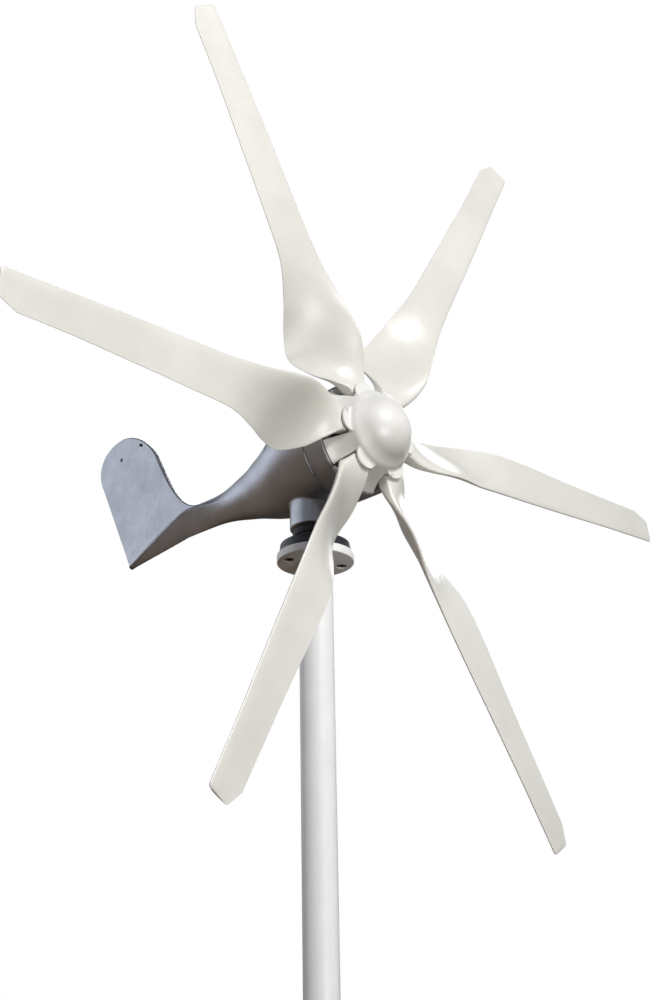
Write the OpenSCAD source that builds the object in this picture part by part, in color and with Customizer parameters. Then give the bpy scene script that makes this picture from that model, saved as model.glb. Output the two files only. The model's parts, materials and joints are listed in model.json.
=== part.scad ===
// Small horizontal-axis wind turbine on a mast: six-blade rotor, direct-drive generator in a cast
// nacelle with an integral tail fin, free-turning yaw head with slip rings, flanged mast tube.
// Millimetres. +Z is up, the rotor faces -Y, the tail points to +Y. Origin at the centre of the mast foot.

/* [Rotor] */
// Rotor diameter over the blade tips
rotor_diameter = 1200; // [900:10:1500]
// Distance of the blade plane in front of the yaw axis
rotor_offset = 129; // [125:1:160]
// Rest angle of blade 1, from straight up, anticlockwise seen from the front
rotor_phase = 30.6; // [0:0.1:59.9]
// Blade thickness as a share of the design thickness
blade_thickness = 1; // [0.8:0.05:1.3]

/* [Spinner] */
// Radius of the spinner dome
dome_radius = 50; // [46:1:54]
// Wall thickness of the spinner
spinner_wall = 3; // [2:0.5:4]
// Radius of the skirt at its rear edge
skirt_radius = 77; // [72:1:78]
// Reach of a blade tab from the rotor axis
tab_reach = 68; // [62:1:70]

/* [Generator] */
// Outer radius of the generator housing
housing_radius = 77; // [75:1:84]
// Number of rotor magnets
magnet_count = 12; // [8:2:16]
// Number of stator slots
slot_count = 18; // [12:3:24]

/* [Tail] */
// Thickness of the tail fin
fin_thickness = 9; // [6:1:12]

/* [Mast] */
// Height of the rotor axis above the mast foot
axis_height = 1100; // [1000:10:3000]
// Outer diameter of the mast tube
mast_diameter = 45; // [42:0.5:46]
// Wall thickness of the mast tube
mast_wall = 3; // [2:0.5:4]
// Radius of the mast flange
flange_radius = 51; // [50:1:56]
// Radius of the flange screw circle
flange_circle = 37; // [36:0.5:38]

/* [Hidden] */
tip = rotor_diameter / 2;
mast_r = mast_diameter / 2;
fit = 0.03;                      // radial clearance of a located or running cylinder
dome_a = -16;                    // dome centre, forward of the blade plane
skirt_a = -41;                   // rear edge of the spinner skirt
tab_a = -6;                      // front face of the blade tabs
root_front = -11;
root_back = -31;
cover_a = -42;                   // front face of the generator cover
seam_a = -75;                    // joint between cover and casting
bolt_radii = [34, 54];           // blade bolt positions along the blade
seam_y = -rotor_offset - seam_a;
ring_z = [-17.5, -7.5, 2.5];     // slip ring mid heights above the rotor axis
lead_x = [-8, 0, 8];
lead_end = -200;                 // lower end of the slip ring leads, inside the mast
flange_angles = [for (i = [0:3]) 66 + 90 * i];
screw_tabs = [2, 4, 6];
tab_screw = [11, 60, 0];

function lerp(a, b, u) = a + (b - a) * u;
function bez(p, u) = pow(1 - u, 3) * p[0] + 3 * u * pow(1 - u, 2) * p[1] + 3 * u * u * (1 - u) * p[2]
    + pow(u, 3) * p[3];
// smooth value of column c of a station table at position x in column 0
function seg(t, x, i = 0) = (i >= len(t) - 2 || x <= t[i + 1][0]) ? i : seg(t, x, i + 1);
function slope(t, i, c) = let (a = max(i - 1, 0), b = min(i + 1, len(t) - 1))
    (t[b][c] - t[a][c]) / (t[b][0] - t[a][0]);
function smooth(t, x, c) = let (i = seg(t, x), h = t[i + 1][0] - t[i][0], u = (x - t[i][0]) / h)
    t[i][c] * (1 + 2 * u) * pow(1 - u, 2) + slope(t, i, c) * h * u * pow(1 - u, 2)
    + t[i + 1][c] * u * u * (3 - 2 * u) + slope(t, i + 1, c) * h * u * u * (u - 1);

// frames: z of the rotor frame points forward along the rotor axis, its y is up
module on_axis() translate([0, -rotor_offset, axis_height]) rotate([90, 0, 0]) children();
module at_blade(k) on_axis() rotate([0, 0, rotor_phase + 60 * (k - 1)]) children();
module at_axis_height() translate([0, 0, axis_height]) children();
module bar(r, z0, z1) translate([0, 0, z0]) cylinder(r = r, h = z1 - z0, $fn = 64);
module tube(ro, ri, z0, z1) difference() {
    bar(ro, z0, z1);
    bar(ri, z0 - 1, z1 + 1);
}
module round_ring(n, r, from = 0) for (i = [0:n - 1]) rotate([0, 0, from + 360 * i / n])
    translate([r, 0, 0]) children();

// closed loft through equal-length rings of points
module loft(rings) {
    n = len(rings[0]);
    m = len(rings);
    polyhedron(points = [for (g = rings) each g], faces = concat(
        [[for (j = [0:n - 1]) n - 1 - j]],
        [for (i = [0:m - 2], j = [0:n - 1]) [i * n + j, i * n + (j + 1) % n, (i + 1) * n + (j + 1) % n]],
        [for (i = [0:m - 2], j = [0:n - 1]) [i * n + j, (i + 1) * n + (j + 1) % n, (i + 1) * n + j]],
        [[for (j = [0:n - 1]) (m - 1) * n + j]]));
}

// ---------------------------------------------------------------- blades
// radius, leading edge (tangential, axial), trailing edge (tangential, axial), thickness, 0 block .. 1 aerofoil
blade_table = [
    [26.5, -13, -21, 13, -21, 19.2, 0], [50, -13, -21, 14.5, -21, 19.2, 0],
    [66, -17.5, -21, 18.5, -21, 19.2, 0],
    [82, -25, -15, 28, -29, 16, 0.45], [102, -29, -6, 41, -47, 13, 0.85], [130, -29, 2, 47.5, -66, 11, 1],
    [160, -26, 1, 46.5, -60, 10, 1], [200, -23.5, -5, 46, -39, 8.5, 1], [250, -19, -8, 46, -18, 7.5, 1],
    [310, -16, -7, 46, -12, 7, 1], [400, -12, -3.5, 44, -9, 6, 1], [500, -6.5, -0.5, 43, -5, 5.5, 1],
    [600, -2, 1.5, 44, -3, 4.5, 1]];
blade_r = [26.5, 50, 58, 66, 73, 80, 88, 96, 106, 118, 130, 145, 162, 182, 210, 250, 310, 400, 500, 560,
    573, 586, 595, 598, 599.4, 600];
half_n = 10;
function block_half(x) = 0.5 * pow(max(0, 1 - pow(abs(2 * x - 1), 6)), 1 / 6);
function foil_half(x) = 5 * (0.2969 * sqrt(x) - 0.126 * x - 0.3516 * x * x + 0.2843 * pow(x, 3)
    - 0.1 * pow(x, 4));
function blade_ring(r0) = let (
    r = min(r0, 600),
    shaved = min(max((r - 573) / 27, 0), 1),      // trailing corner cut off at the tip
    e = 1 - sqrt(max(0, 1 - pow(max(r - 595, 0) / 5.05, 2))),
    le0 = [smooth(blade_table, r, 1), smooth(blade_table, r, 2)],
    te0 = [smooth(blade_table, r, 3), smooth(blade_table, r, 4)],
    le = le0 + (te0 - le0) * 0.1 * e,
    te = te0 - (te0 - le0) * (0.25 * shaved + 0.08 * e),
    th = smooth(blade_table, r, 5) * blade_thickness * (1 - 0.7 * e),
    s = smooth(blade_table, r, 6),
    c = te - le,
    n = [c[1], -c[0]] / norm(c),
    half = function (x) lerp(block_half(x), foil_half(x), min(1, max(0, s))) * th,
    camber = function (x) s * 0.16 * x * (1 - x) * norm(c) * 0.8,
    up = [for (i = [0:half_n]) let (x = (1 - cos(180 * i / half_n)) / 2)
        le + c * x + n * (camber(x) + half(x) + 0.25)],
    dn = [for (i = [half_n - 1:-1:1]) let (x = (1 - cos(180 * i / half_n)) / 2)
        le + c * x + n * (camber(x) - half(x) - 0.25)])
    [for (p = concat(up, dn)) [-p[0], r * tip / 600, p[1]]];

module blade(k) at_blade(k) difference() {
    loft([for (r = blade_r) blade_ring(r)]);
    for (y = bolt_radii) translate([0, y, 0]) {
        bar(3.2, root_back - 5, root_front + 5);
        bar(6, root_front - 7.5, root_front + 5);
    }
    if (len(search(k, screw_tabs)) > 0) translate(tab_screw) bar(1.63, -27, root_front + 5);
}
module blade_1() color("#dcdcd0") blade(1);
module blade_2() color("#dcdcd0") blade(2);
module blade_3() color("#dcdcd0") blade(3);
module blade_4() color("#dcdcd0") blade(4);
module blade_5() color("#dcdcd0") blade(5);
module blade_6() color("#dcdcd0") blade(6);

// ---------------------------------------------------------------- spinner and hub
module slot_outline() polygon([[14, 20], [14, 47], [21.5, skirt_radius + 6], [-28, skirt_radius + 6],
    [-17, 52], [-16, 20]]);
module tab_outline(grow = 0) {
    intersection() {
        translate([-17 - grow, 30]) square([34 + 2 * grow, tab_reach]);
        translate([0, tab_reach - 20]) circle(r = 20 + grow, $fn = 64);
    }
    translate([-17 - grow, 36]) square([34 + 2 * grow, tab_reach - 56 + 10]);
}
function skirt_profile(off) = [
    for (u = [0:5:70]) [(dome_radius - off) * cos(90 - u), dome_a + (dome_radius - off) * sin(90 - u)],
    [dome_radius - off - 0.6, -7 - off * 0.4], [dome_radius - off + 4, -14 - off * 0.5],
    [skirt_radius - 7 - off, -34 - off * 0.6], [skirt_radius - off, skirt_a - (off > 0 ? 1 : 0)],
    [0, skirt_a - (off > 0 ? 1 : 0)]];
module spinner() color("#c9c6bf") on_axis() difference() {
    union() {
        difference() {
            rotate_extrude($fn = 96) polygon(skirt_profile(0));
            rotate_extrude($fn = 96) polygon(skirt_profile(spinner_wall));
            for (k = [0:5]) rotate([0, 0, rotor_phase + 60 * k]) translate([0, 0, skirt_a - 5])
                linear_extrude(height = tab_a - 4 - skirt_a + 5) slot_outline();
        }
        for (k = [0:5]) rotate([0, 0, rotor_phase + 60 * k]) difference() {
            translate([0, 0, tab_a - 4]) linear_extrude(height = 4) tab_outline();
            bar(dome_radius - spinner_wall - 3, tab_a - 5, tab_a + 1);
        }
    }
    for (k = screw_tabs) rotate([0, 0, rotor_phase + 60 * (k - 1)]) translate(tab_screw) {
        bar(1.8, tab_a - 6, tab_a + 2);
        bar(2.3, tab_a - 1.5, tab_a + 6);
    }
}
module spinner_screws() color("#c9c6bf") on_axis() for (k = screw_tabs)
    rotate([0, 0, rotor_phase + 60 * (k - 1)]) translate(tab_screw) difference() {
        union() {
            bar(1.6, -26, tab_a - 1);
            bar(2.2, tab_a - 1.5, tab_a);
        }
        translate([0, 0, tab_a - 1]) cylinder(r = 1.1, h = 3, $fn = 6);
    }
module hub_carrier() color("#3c3f42") on_axis() difference() {
    union() {
        bar(60, root_back - 8, root_back);
        bar(23, root_back - 8, -15);
    }
    bar(9 + fit, root_back - 9, 0);
    translate([-3, 0, root_back - 9]) cube([6, 11.8, 40]);
    for (k = [0:5]) rotate([0, 0, rotor_phase + 60 * k]) {
        for (y = bolt_radii) translate([0, y, 0]) bar(3.05, root_back - 9, root_back + 5);
        rotate([0, 0, 30]) translate([0, 44, 0]) bar(8, root_back - 9, root_back + 1);
    }
}
module blade_bolts() color("#8a8d90") on_axis() for (k = [0:5], y = bolt_radii)
    rotate([0, 0, rotor_phase + 60 * k]) translate([0, y, 0]) difference() {
        union() {
            bar(3, root_back - 8, root_front - 6);
            bar(5, root_front - 6.3, root_front - 0.3);
        }
        translate([0, 0, root_front - 4]) cylinder(r = 2.9, h = 5, $fn = 6);
    }
module blade_washers() color("#a9acae") on_axis() for (k = [0:5], y = bolt_radii)
    rotate([0, 0, rotor_phase + 60 * k]) translate([0, y, 0])
        tube(5.7, 3.05, root_front - 7.5, root_front - 6.3);
module hub_washer() color("#a9acae") on_axis() tube(14.5, 8.2, -15, -12.5);
module hub_nut() color("#9a9da0") on_axis() difference() {
    union() {
        translate([0, 0, -12.5]) cylinder(r = 24 / sqrt(3), h = 11, $fn = 6);
        bar(11.5, -2, 1.5);
    }
    bar(8, -13, 2);
}

// ---------------------------------------------------------------- shaft and magnet rotor
module rotor_shaft() color("#b4b7ba") on_axis() difference() {
    union() {
        bar(8, -15, 4);
        bar(9, -41, -15);
        bar(10, -63, -41);
        bar(12.5, -64.5, -63);
        bar(11, -88, -64.5);
        bar(9, -90, -88);
        bar(7.5, -100.5, -90);
    }
    translate([-3, 5.5, -37]) cube([6, 5, 17]);
    tube(12, 10.2, -82.7, -81);
}
module shaft_key() color("#8f8a80") on_axis() translate([-3, 5.5, -37]) cube([6, 6, 17]);
module magnet_core() color("#70757a") on_axis() difference() {
    bar(35, -81, -64.5);
    bar(11 + fit, -82, -64);
    round_ring(6, 23) bar(5.5, -82, -64);
}
module magnets() color("#b8bcc2") on_axis() difference() {
    tube(40.6, 35, -80.5, -65);
    for (i = [0:magnet_count - 1]) rotate([0, 0, 360 * i / magnet_count]) translate([-1.6, 20, -82])
        cube([3.2, 30, 20]);
}
module core_circlip() color("#6a6d70") on_axis() difference() {
    tube(14, 10.3, -82.6, -81);
    translate([-1.5, 5, -84]) cube([3, 12, 4]);
}

// ---------------------------------------------------------------- ball bearings
// r0 bore radius, r1 outside radius, w width, p pitch radius, b ball radius
module inner_race(r0, p, b, w, z0) translate([0, 0, z0]) rotate_extrude($fn = 64) difference() {
    translate([r0, 0]) square([p - 0.55 * b - r0, w]);
    translate([p, w / 2]) circle(r = b + 0.05, $fn = 40);
}
module outer_race(r1, p, b, w, z0) translate([0, 0, z0]) rotate_extrude($fn = 64) difference() {
    translate([p + 0.55 * b, 0]) square([r1 - p - 0.55 * b, w]);
    translate([p, w / 2]) circle(r = b + 0.05, $fn = 40);
}
module balls(n, p, b, w, z0) round_ring(n, p) translate([0, 0, z0 + w / 2]) sphere(r = b, $fn = 32);

module front_inner_race() color("#c3c6c9") on_axis() inner_race(10 + fit, 16.8, 3.9, 14, -63);
module front_outer_race() color("#c3c6c9") on_axis() outer_race(23.5, 16.8, 3.9, 14, -63);
module front_balls() color("#d8dadc") on_axis() balls(8, 16.8, 3.9, 14, -63);
module rear_inner_race() color("#c3c6c9") on_axis() inner_race(7.5 + fit, 12.5, 2.9, 10.4, -100.4);
module rear_outer_race() color("#c3c6c9") on_axis() outer_race(17.5, 12.5, 2.9, 10.4, -100.4);
module rear_balls() color("#d8dadc") on_axis() balls(8, 12.5, 2.9, 10.4, -100.4);
module wave_washer() color("#8f9296") on_axis() tube(17, 14.8, -101.8, -100.4);

module yaw_lower_inner() color("#c3c6c9") at_axis_height() inner_race(12.5 + fit, 18, 3.2, 12, -104);
module yaw_lower_outer() color("#c3c6c9") at_axis_height() outer_race(23.5, 18, 3.2, 12, -104);
module yaw_lower_balls() color("#d8dadc") at_axis_height() balls(11, 18, 3.2, 12, -104);
module yaw_upper_inner() color("#c3c6c9") at_axis_height() inner_race(12.5 + fit, 18, 3.2, 12, -48);
module yaw_upper_outer() color("#c3c6c9") at_axis_height() outer_race(23.5, 18, 3.2, 12, -48);
module yaw_upper_balls() color("#d8dadc") at_axis_height() balls(11, 18, 3.2, 12, -48);

// ---------------------------------------------------------------- nacelle casting with boom and fin
// station y, centre z, half height, half width, fullness of the upper side 0 round .. 1 sharp ridge line
body_table = [
    [-54, 0, 77, 77], [-30, -0.5, 76, 75.5], [0, -3, 72.5, 70.5], [35, -8.2, 64, 59.5], [72, -13.3, 51, 45.5],
    [90, -14, 45, 39.5], [111, -14.6, 38, 31.5], [134, -14.8, 32.3, 25.5], [157, -14.8, 27.8, 20.5],
    [181, -15, 24.3, 17], [209, -15.2, 22.5, 14.2], [236, -15.4, 22.6, 12.6], [262, -17, 22, 11.5],
    [300, -29, 16, 9.5], [345, -42, 8, 7], [391, -51, 4, 5]];
body_y = [seam_y, -42, -28, -12, 6, 24, 42, 58, 74, 92, 111, 134, 157, 181, 200, 215, 230, 245, 260, 275, 290, 305,
    322, 345, 368, 389];
body_n = 32;
function body_ring(y) = [for (j = [0:body_n - 1]) let (t = 360 * j / body_n)
    [-smooth(body_table, y, 3) * sin(t), y, smooth(body_table, y, 1) + smooth(body_table, y, 2) * cos(t)]];
// keel: widest at a crease that runs down to the fin's rear corner, hollow above it up to the fin's sides
// and narrowing below it to the lower edge; the body's oval passes into it between y 200 and 305
function keel_ring(y) = let (u = max(0, (y - 262) / 129), crease = lerp(6.4, -47.5, u), low = lerp(-38.4, -51, pow(u, 0.9)),
    w = lerp(11.5, 4.7, pow(u, 0.8)), side = fin_thickness / 2 - 0.6,
    flare = lookup(y, [[255, 3], [300, 27], [350, 24], [391, 10]]),
    half = concat(
        [for (v = [1, 0.8, 0.6, 0.45, 0.3, 0.15, 0]) [side + (w - side) * pow(1 - v, 2.4), crease + flare * v]],
        [for (d = [0.1, 0.25, 0.4, 0.55, 0.7, 0.82, 0.92, 0.98])
            [w * (1 - 0.62 * pow(d, 0.9)) * sqrt(1 - pow(d, 7)), lerp(crease, low, d)]]))
    concat([[0, y, crease + flare]], [for (h = half) [-h[0], y, h[1]]], [[0, y, low]],
        [for (k = [len(half) - 1:-1:0]) [half[k][0], y, half[k][1]]]);
function boom_ring(y) = let (t = min(1, max(0, (y - 200) / 105)), w = t * t * (3 - 2 * t), a = body_ring(y),
    b = keel_ring(y)) [for (j = [0:body_n - 1]) lerp(a[j], b[j], w)];
fin_outline = concat(
    [[230, -10], [300, -35], [390, -47.5]],
    [for (u = [0:0.125:1]) bez([[461, 100], [483, 133], [469, 174], [415, 174]], u)],
    [for (u = [0.2:0.2:1]) bez([[415, 174], [386, 172], [352, 148], [336, 121]], u)],
    [for (u = [0.1:0.1:1]) bez([[336, 121], [313, 78], [281, 14], [238, 6.5]], u)]);

module fin_plate() difference() {
    translate([-fin_thickness / 2, 0, 0]) rotate([90, 0, 90]) linear_extrude(height = fin_thickness)
        polygon(fin_outline);
    translate([-20, 418, 138]) rotate([0, 90, 0]) cylinder(r = 2.5, h = 40, $fn = 32);
    translate([0, 371, 148]) rotate([35, 0, 0]) cube([40, 8, 3], center = true);
}
module generator_bore() translate([0, -rotor_offset, 0]) rotate([90, 0, 0]) {
    tube(90, 75, seam_a - 2, seam_a + 1);
    bar(66 + fit, -81, seam_a + 1);
    bar(64 + fit, -95, -80);
    bar(56, -168, -94);
}
module nacelle_casting() color("#7f8794") at_axis_height() difference() {
    union() {
        difference() {
            union() {
                loft([for (y = body_y) boom_ring(y)]);
                fin_plate();
            }
            generator_bore();
        }
        bar(33.5, -104, -62);
        translate([0, 0, -106]) cylinder(r1 = 31.5, r2 = 33.5, h = 2, $fn = 64);
        bar(31, -70, -34);
    }
    bar(23.5 + fit, -107, -92);
    bar(21, -93, -47);
    bar(23.5 + fit, -48, -33);
    translate([0, -rotor_offset, 0]) rotate([90, 0, 0]) {
        round_ring(6, 71.5, 15) bar(2.55, seam_a - 14, seam_a + 1);
        round_ring(4, 60, 45) bar(2.05, -103, -94);
    }
    for (s = [-1, 1]) translate([7 * s, 27.5, 0]) bar(1.55, -44, -33);
}
module front_cover() color("#5c6068") on_axis() difference() {
    union() {
        rotate_extrude($fn = 96) polygon([[0, cover_a], [housing_radius - 3, cover_a],
            [housing_radius, cover_a - 3], [housing_radius, seam_a + 0.8], [housing_radius - 0.8, seam_a],
            [0, seam_a]]);
    }
    difference() {
        bar(63, seam_a - 1, cover_a - 7);
        bar(29, -63, cover_a - 6);
    }
    bar(66 + fit, seam_a - 1, -63);
    bar(23.5 + fit, -64, -49);
    bar(13, -50, cover_a + 1);
    bar(18, -48, cover_a + 1);
    round_ring(6, 71.5, 15) {
        bar(2.7, seam_a - 1, cover_a + 1);
        bar(4.6, cover_a - 5, cover_a + 1);
    }
}
module cover_screws() color("#c9ccce") on_axis() round_ring(6, 71.5, 15) difference() {
    union() {
        bar(2.5, seam_a - 12, cover_a - 4.5);
        bar(4.2, cover_a - 5, cover_a);
    }
    translate([0, 0, cover_a - 2.5]) cylinder(r = 2.3, h = 4, $fn = 6);
}
module rear_plate() color("#6f747c") on_axis() difference() {
    union() {
        bar(64, -95, -89);
        bar(22, -104.5, -92);
    }
    bar(17.5 + fit, -101.8, -88);
    round_ring(4, 60, 45) bar(2.2, -96, -88);
    translate([-12, 46, -97]) cube([24, 8, 10]);
}
module plate_screws() color("#b9bcbf") on_axis() round_ring(4, 60, 45) difference() {
    union() {
        bar(2, -102, -88);
        bar(3.5, -89, -86.8);
    }
    translate([0, 0, -88]) cylinder(r = 1.7, h = 3, $fn = 6);
}
module stator_core() color("#4d5156") on_axis() difference() {
    tube(66, 42, -81, -63);
    for (i = [0:slot_count - 1]) rotate([0, 0, 360 * (i + 0.5) / slot_count]) {
        translate([-3.5, 46, -82]) cube([7, 12, 20]);
        translate([-1, 40, -82]) cube([2, 8, 20]);
    }
}
module stator_windings() color("#b4602c") on_axis() {
    for (i = [0:slot_count - 1]) rotate([0, 0, 360 * (i + 0.5) / slot_count])
        translate([-3.2, 46.3, -84]) cube([6.4, 11.4, 24]);
    for (z = [-86.6, -63]) translate([0, 0, z]) rotate_extrude($fn = 96)
        polygon([[46.3, 0], [57.7, 0], [57.7, 3.8], [55.7, 5.6], [48.3, 5.6], [46.3, 3.8]]);
}
module shaft_seal() color("#26282a") on_axis() tube(18, 10 + 0.05, -48, cover_a);

// ---------------------------------------------------------------- yaw head
module yaw_seal() color("#1f2123") at_axis_height() tube(30, 16.5, -116.5, -106);
module brush_holder() color("#8c3b2e") at_axis_height() difference() {
    union() {
        translate([-11, 22, -22.5]) cube([22, 16.5, 30]);
        translate([-11, 24.5, -34]) cube([22, 14, 12]);
    }
    for (z = ring_z) translate([-3, 20, z - 2.5]) cube([6, 16.5, 5]);
    for (s = [-1, 1]) translate([7 * s, 27.5, 0]) {
        bar(1.7, -35, -20);
        bar(3, -30, -20);
    }
    translate([-12, 23, -31]) cube([24, 9, 8.5]);
}
module holder_screws() color("#c9ccce") at_axis_height() for (s = [-1, 1]) translate([7 * s, 27.5, 0]) {
    bar(1.5, -43, -31);
    bar(2.8, -31, -29);
}
module brushes() color("#3a3a3c") at_axis_height() for (z = ring_z)
    translate([-2.8, 17.6, z - 2.3]) cube([5.6, 11, 4.6]);
module brush_springs() color("#c2a15a") at_axis_height() for (z = ring_z)
    translate([0, 28.6, z]) rotate([-90, 0, 0]) for (i = [0:3]) translate([0, 0, 0.6 + 2.1 * i])
        rotate_extrude($fn = 32) translate([1.6, 0]) circle(r = 0.5, $fn = 16);
module phase_leads() color("#c23b2a") at_axis_height() for (x = lead_x) translate([x, 0, 0]) {
    translate([0, -42.4, 50]) rotate([-90, 0, 0]) cylinder(r = 1.6, h = 73.4, $fn = 24);
    translate([0, 31, 50]) sphere(r = 1.6, $fn = 24);
    translate([0, 31, 7.5]) cylinder(r = 1.6, h = 42.5, $fn = 24);
}

// ---------------------------------------------------------------- mast and yaw base
module yaw_base() color("#4a4f57") at_axis_height() difference() {
    union() {
        rotate_extrude($fn = 96) polygon([[0, -140], [47, -140], [48, -139], [46.5, -127], [45.5, -126],
            [29.5, -126], [29.5, -118], [28.5, -117], [0, -117]]);
        bar(15.5, -118, -104);
        bar(12.5, -105, -24);
        bar(11, -25, 8);
    }
    bar(8, -141, 9);
    for (a = flange_angles) rotate([0, 0, a]) translate([flange_circle, 0, 0]) bar(4.05, -141, -128);
    for (i = [0:2]) rotate([0, 0, 120 * i]) translate([5, 0, ring_z[i]]) rotate([0, 90, 0])
        cylinder(r = 2.3, h = 10, $fn = 24);
}
module mast_flange() color("#c8cacc") at_axis_height() difference() {
    rotate_extrude($fn = 96) polygon([[15, -152], [flange_radius - 1, -152], [flange_radius, -151],
        [flange_radius, -141], [flange_radius - 1, -140], [15, -140]]);
    for (a = flange_angles) rotate([0, 0, a]) translate([flange_circle, 0, 0]) {
        bar(4.3, -153, -139);
        bar(7.2, -153, -144.3);
    }
}
module mast_tube() color("#d6d8d8") tube(mast_r, mast_r - mast_wall, 0, axis_height - 152);
module flange_screws() color("#8a8d90") at_axis_height() for (a = flange_angles) rotate([0, 0, a])
    translate([flange_circle, 0, 0]) difference() {
        union() {
            bar(4, -145.5, -129);
            bar(6.5, -150.5, -145.5);
        }
        translate([0, 0, -151.5]) cylinder(r = 3.4, h = 4, $fn = 6);
    }
module flange_washers() color("#a9acae") at_axis_height() for (a = flange_angles) rotate([0, 0, a])
    translate([flange_circle, 0, 0]) tube(7, 4.1, -145.5, -144.3);
module yaw_spacer() color("#a4a7aa") at_axis_height() tube(15.5, 12.5 + fit, -92, -48);
module yaw_nut() color("#9a9da0") at_axis_height() difference() {
    translate([0, 0, -36]) cylinder(r = 18, h = 9, $fn = 64);
    bar(12.5, -37, -26);
    for (i = [0:3]) rotate([0, 0, 90 * i]) translate([15.5, -2.5, -37]) cube([6, 5, 12]);
}
module slip_ring_core() color("#ded9c8") at_axis_height() difference() {
    union() {
        bar(13.95, -24, 9);
        for (z = [-24, -14, -4, 6]) bar(15.6, z, z + 3);
    }
    bar(11 + fit, -25, 8);
    for (i = [0:2]) rotate([0, 0, 120 * i]) translate([5, 0, ring_z[i]]) rotate([0, 90, 0])
        cylinder(r = 2.3, h = 12, $fn = 24);
}
module slip_rings() color("#b87333") at_axis_height() for (z = ring_z) tube(17.5, 14, z - 3.5, z + 3.5);
module slip_ring_leads() color("#2a2c2e") at_axis_height() for (i = [0:2]) rotate([0, 0, 120 * i])
    translate([5, 0, 0]) {
        bar(1.9, lead_end, ring_z[i]);
        translate([0, 0, ring_z[i]]) {
            sphere(r = 1.9, $fn = 24);
            rotate([0, 90, 0]) cylinder(r = 1.9, h = 8.9, $fn = 24);
        }
    }
module lead_terminals() color("#b59a55") at_axis_height() for (i = [0:2]) rotate([0, 0, 120 * i])
    translate([5, 0, 0]) {
        bar(2.6, lead_end - 12, lead_end);
        bar(1.6, lead_end - 20, lead_end - 12);
    }

spinner();
spinner_screws();
blade_1();
blade_2();
blade_3();
blade_4();
blade_5();
blade_6();
hub_carrier();
blade_bolts();
blade_washers();
hub_washer();
hub_nut();
rotor_shaft();
shaft_key();
magnet_core();
magnets();
core_circlip();
front_inner_race();
rear_inner_race();
nacelle_casting();
front_cover();
cover_screws();
rear_plate();
plate_screws();
stator_core();
stator_windings();
front_outer_race();
front_balls();
rear_outer_race();
rear_balls();
wave_washer();
shaft_seal();
yaw_lower_outer();
yaw_lower_balls();
yaw_upper_outer();
yaw_upper_balls();
yaw_seal();
brush_holder();
holder_screws();
brushes();
brush_springs();
phase_leads();
mast_tube();
mast_flange();
yaw_base();
flange_screws();
flange_washers();
yaw_lower_inner();
yaw_upper_inner();
yaw_spacer();
yaw_nut();
slip_ring_core();
slip_rings();
slip_ring_leads();
lead_terminals();
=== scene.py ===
"""Looks of the small wind turbine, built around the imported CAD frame. Shape code is in millimetres."""
import json
import math

import bpy
import numpy as np
from mathutils import Matrix, Vector


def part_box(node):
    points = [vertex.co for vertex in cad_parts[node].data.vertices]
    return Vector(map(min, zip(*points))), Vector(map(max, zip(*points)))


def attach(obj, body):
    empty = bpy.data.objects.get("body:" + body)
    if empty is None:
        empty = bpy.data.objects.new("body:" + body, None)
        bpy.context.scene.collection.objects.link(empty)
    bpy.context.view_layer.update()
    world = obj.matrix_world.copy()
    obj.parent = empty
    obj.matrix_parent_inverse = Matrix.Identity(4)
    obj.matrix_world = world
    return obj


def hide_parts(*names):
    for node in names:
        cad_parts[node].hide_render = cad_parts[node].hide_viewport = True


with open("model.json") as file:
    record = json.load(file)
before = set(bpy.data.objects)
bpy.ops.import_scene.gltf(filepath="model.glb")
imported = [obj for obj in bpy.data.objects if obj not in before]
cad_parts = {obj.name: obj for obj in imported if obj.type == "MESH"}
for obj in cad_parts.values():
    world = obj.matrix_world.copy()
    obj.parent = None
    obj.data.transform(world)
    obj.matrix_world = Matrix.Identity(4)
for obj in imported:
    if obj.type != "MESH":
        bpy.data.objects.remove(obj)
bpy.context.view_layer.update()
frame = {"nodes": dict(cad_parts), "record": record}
MM = 0.001

# ------------------------------------------------------------------ the part's own numbers, from its boxes
low_cover, high_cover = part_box("front_cover")
AXIS_Z = (low_cover.z + high_cover.z) / 2 / MM        # height of the rotor axis
COVER_A = -42.0                                       # cover's front face, forward of the blade plane
OFFSET = -low_cover.y / MM - COVER_A                  # blade plane in front of the yaw axis
PHASE = 30.6                                          # rest angle of blade 1
TAB_A, SKIRT_A, SKIRT_R = -6.0, -41.0, 77.0           # spinner: tab face, skirt edge and the skirt's radius
DOME_A, DOME_R, WALL = -16.0, 50.0, 3.0               # dome's centre and radius, wall of the moulding
SEAM_A = -75.0                                        # joint between cover and casting
SEAM_Y = -OFFSET - SEAM_A
RING_R = (high_cover.x - low_cover.x) / 2 / MM        # radius of the generator ring


def from_rotor(p):
    """Rotor frame (x, y up, z forward of the blade plane) to the row frame."""
    return np.stack([p[:, 0], -OFFSET - p[:, 2], AXIS_Z + p[:, 1]], 1)


def from_axis(p):
    """Frame with its origin where the yaw axis meets the rotor's height to the row frame."""
    return p + np.array([0, 0, AXIS_Z])


def turned(x, y, degrees):
    """Coordinates seen from a frame that is turned by that angle."""
    c, s = math.cos(math.radians(degrees)), math.sin(math.radians(degrees))
    return x * c + y * s, -x * s + y * c


# ------------------------------------------------------------------ distance functions
def union(a, b, r):
    """Union with a fillet of radius r in the inner corner."""
    u, v = np.maximum(r - a, 0), np.maximum(r - b, 0)
    return np.maximum(r, np.minimum(a, b)) - np.hypot(u, v)


def both(a, b, r):
    """Intersection with its edge rounded to radius r."""
    return -union(-a, -b, r)


def cut(a, b, r):
    """a with b taken out, and the rim rounded to radius r."""
    return both(a, -b, r)


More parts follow.
